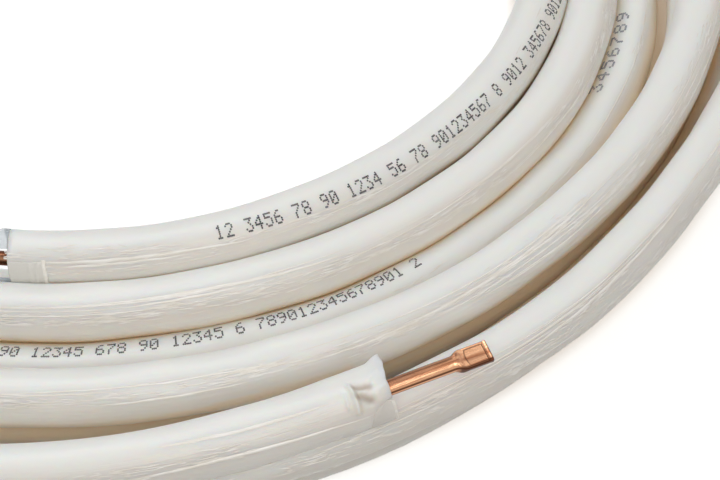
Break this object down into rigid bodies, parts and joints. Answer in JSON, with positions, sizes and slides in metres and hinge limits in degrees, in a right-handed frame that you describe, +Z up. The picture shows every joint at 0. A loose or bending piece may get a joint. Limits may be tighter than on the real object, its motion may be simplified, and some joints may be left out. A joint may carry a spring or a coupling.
{
  "type": "insulated copper tube coil",
  "caption": "Flat coil of thin copper tube in a thick white foam sleeve, wound two turns high round an open eye, with a pinched outer end and an open inner end.",
  "frame": {"origin": "on the floor, below the middle of the coil's footprint", "axes": "+Z up along the coil's axis; the outer end of the tube lies on the -Y side and its copper points to +X"},
  "size_m": [0.6577, 0.6646, 0.0668],
  "materials": {
    "sleeve_foam": "closed-cell foam under a thin satin film",
    "bare_copper": "bright drawn copper"
  },
  "bodies": {
    "root": {"foam_sleeve": "sleeve_foam", "copper_tube": "bare_copper"}
  },
  "joints": []
}
